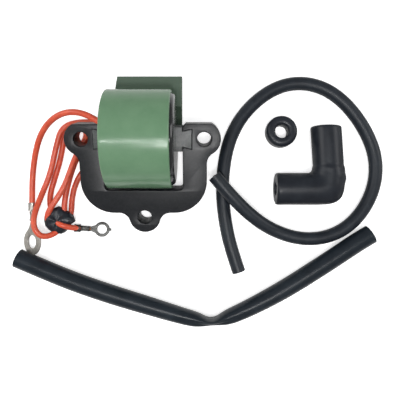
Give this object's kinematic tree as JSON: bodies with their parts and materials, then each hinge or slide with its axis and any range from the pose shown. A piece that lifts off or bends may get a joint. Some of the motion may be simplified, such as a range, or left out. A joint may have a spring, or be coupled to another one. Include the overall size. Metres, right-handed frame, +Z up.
{
  "type": "ignition coil kit",
  "caption": "Small-engine ignition coil in a laminated frame, with two orange primary leads, loose high-tension lead, plug boot, grommet and vinyl sleeve.",
  "frame": {"origin": "on the surface that the kit lies on, below the middle of the coil, boot and grommet", "axes": "+Z up; +X along the coil's core, from its primary leads' end to its open end; +Y towards the coil's high-tension tower"},
  "size_m": [0.1947, 0.1347, 0.0474],
  "materials": {
    "frame_paint": "satin black paint over punched steel",
    "core_steel": "thin satin black paint over punched steel",
    "green_moulding": "moulded green plastic, semi-gloss",
    "potting": "glossy black potting resin",
    "bobbin_nylon": "natural moulded nylon",
    "copper_wire": "enamelled copper",
    "paper": "varnished insulating paper",
    "contact_brass": "drawn brass",
    "orange_insulation": "soft orange wire insulation",
    "tinned_copper": "tin plate",
    "dark_terminal": "dull dark plate",
    "tape_vinyl": "black vinyl tape",
    "lead_jacket": "smooth black lead jacket",
    "sleeve_vinyl": "black vinyl tube",
    "boot_rubber": "moulded black rubber",
    "grommet_rubber": "moulded black rubber"
  },
  "bodies": {
    "coil": {"frame_laminations": "frame_paint", "core_laminations": "core_steel", "coil_housing": "green_moulding", "potting_resin": "potting", "primary_bobbin": "bobbin_nylon", "primary_winding": "copper_wire", "insulating_paper": "paper", "secondary_bobbin": "bobbin_nylon", "secondary_winding": "copper_wire", "tower_contact": "contact_brass", "tower_link_wire": "copper_wire", "lead_joints": "tinned_copper", "short_lead": "orange_insulation", "short_lead_conductor": "copper_wire", "short_lead_ring_terminal": "tinned_copper", "long_lead_start": "orange_insulation", "long_lead_tail": "orange_insulation", "long_lead_hank": "orange_insulation", "long_lead_conductor": "copper_wire", "long_lead_ring_terminal": "dark_terminal", "bundle_tape": "tape_vinyl"},
    "high_tension_lead": {"ht_lead": "lead_jacket", "ht_lead_conductor": "copper_wire"},
    "sleeve": {"lead_sleeve": "sleeve_vinyl"},
    "boot": {"plug_boot": "boot_rubber", "plug_terminal": "contact_brass"},
    "grommet": {"lead_grommet": "grommet_rubber"}
  },
  "joints": [
    {"name": "ht_lead_lift", "type": "slide", "parent": "coil", "child": "high_tension_lead", "axis": [0, 0, 1], "range_m": [0, 0.08]},
    {"name": "sleeve_lift", "type": "slide", "parent": "coil", "child": "sleeve", "axis": [0, 0, 1], "range_m": [0, 0.08]},
    {"name": "boot_lift", "type": "slide", "parent": "coil", "child": "boot", "axis": [0, 0, 1], "range_m": [0, 0.08]},
    {"name": "grommet_lift", "type": "slide", "parent": "coil", "child": "grommet", "axis": [0, 0, 1], "range_m": [0, 0.08]}
  ]
}
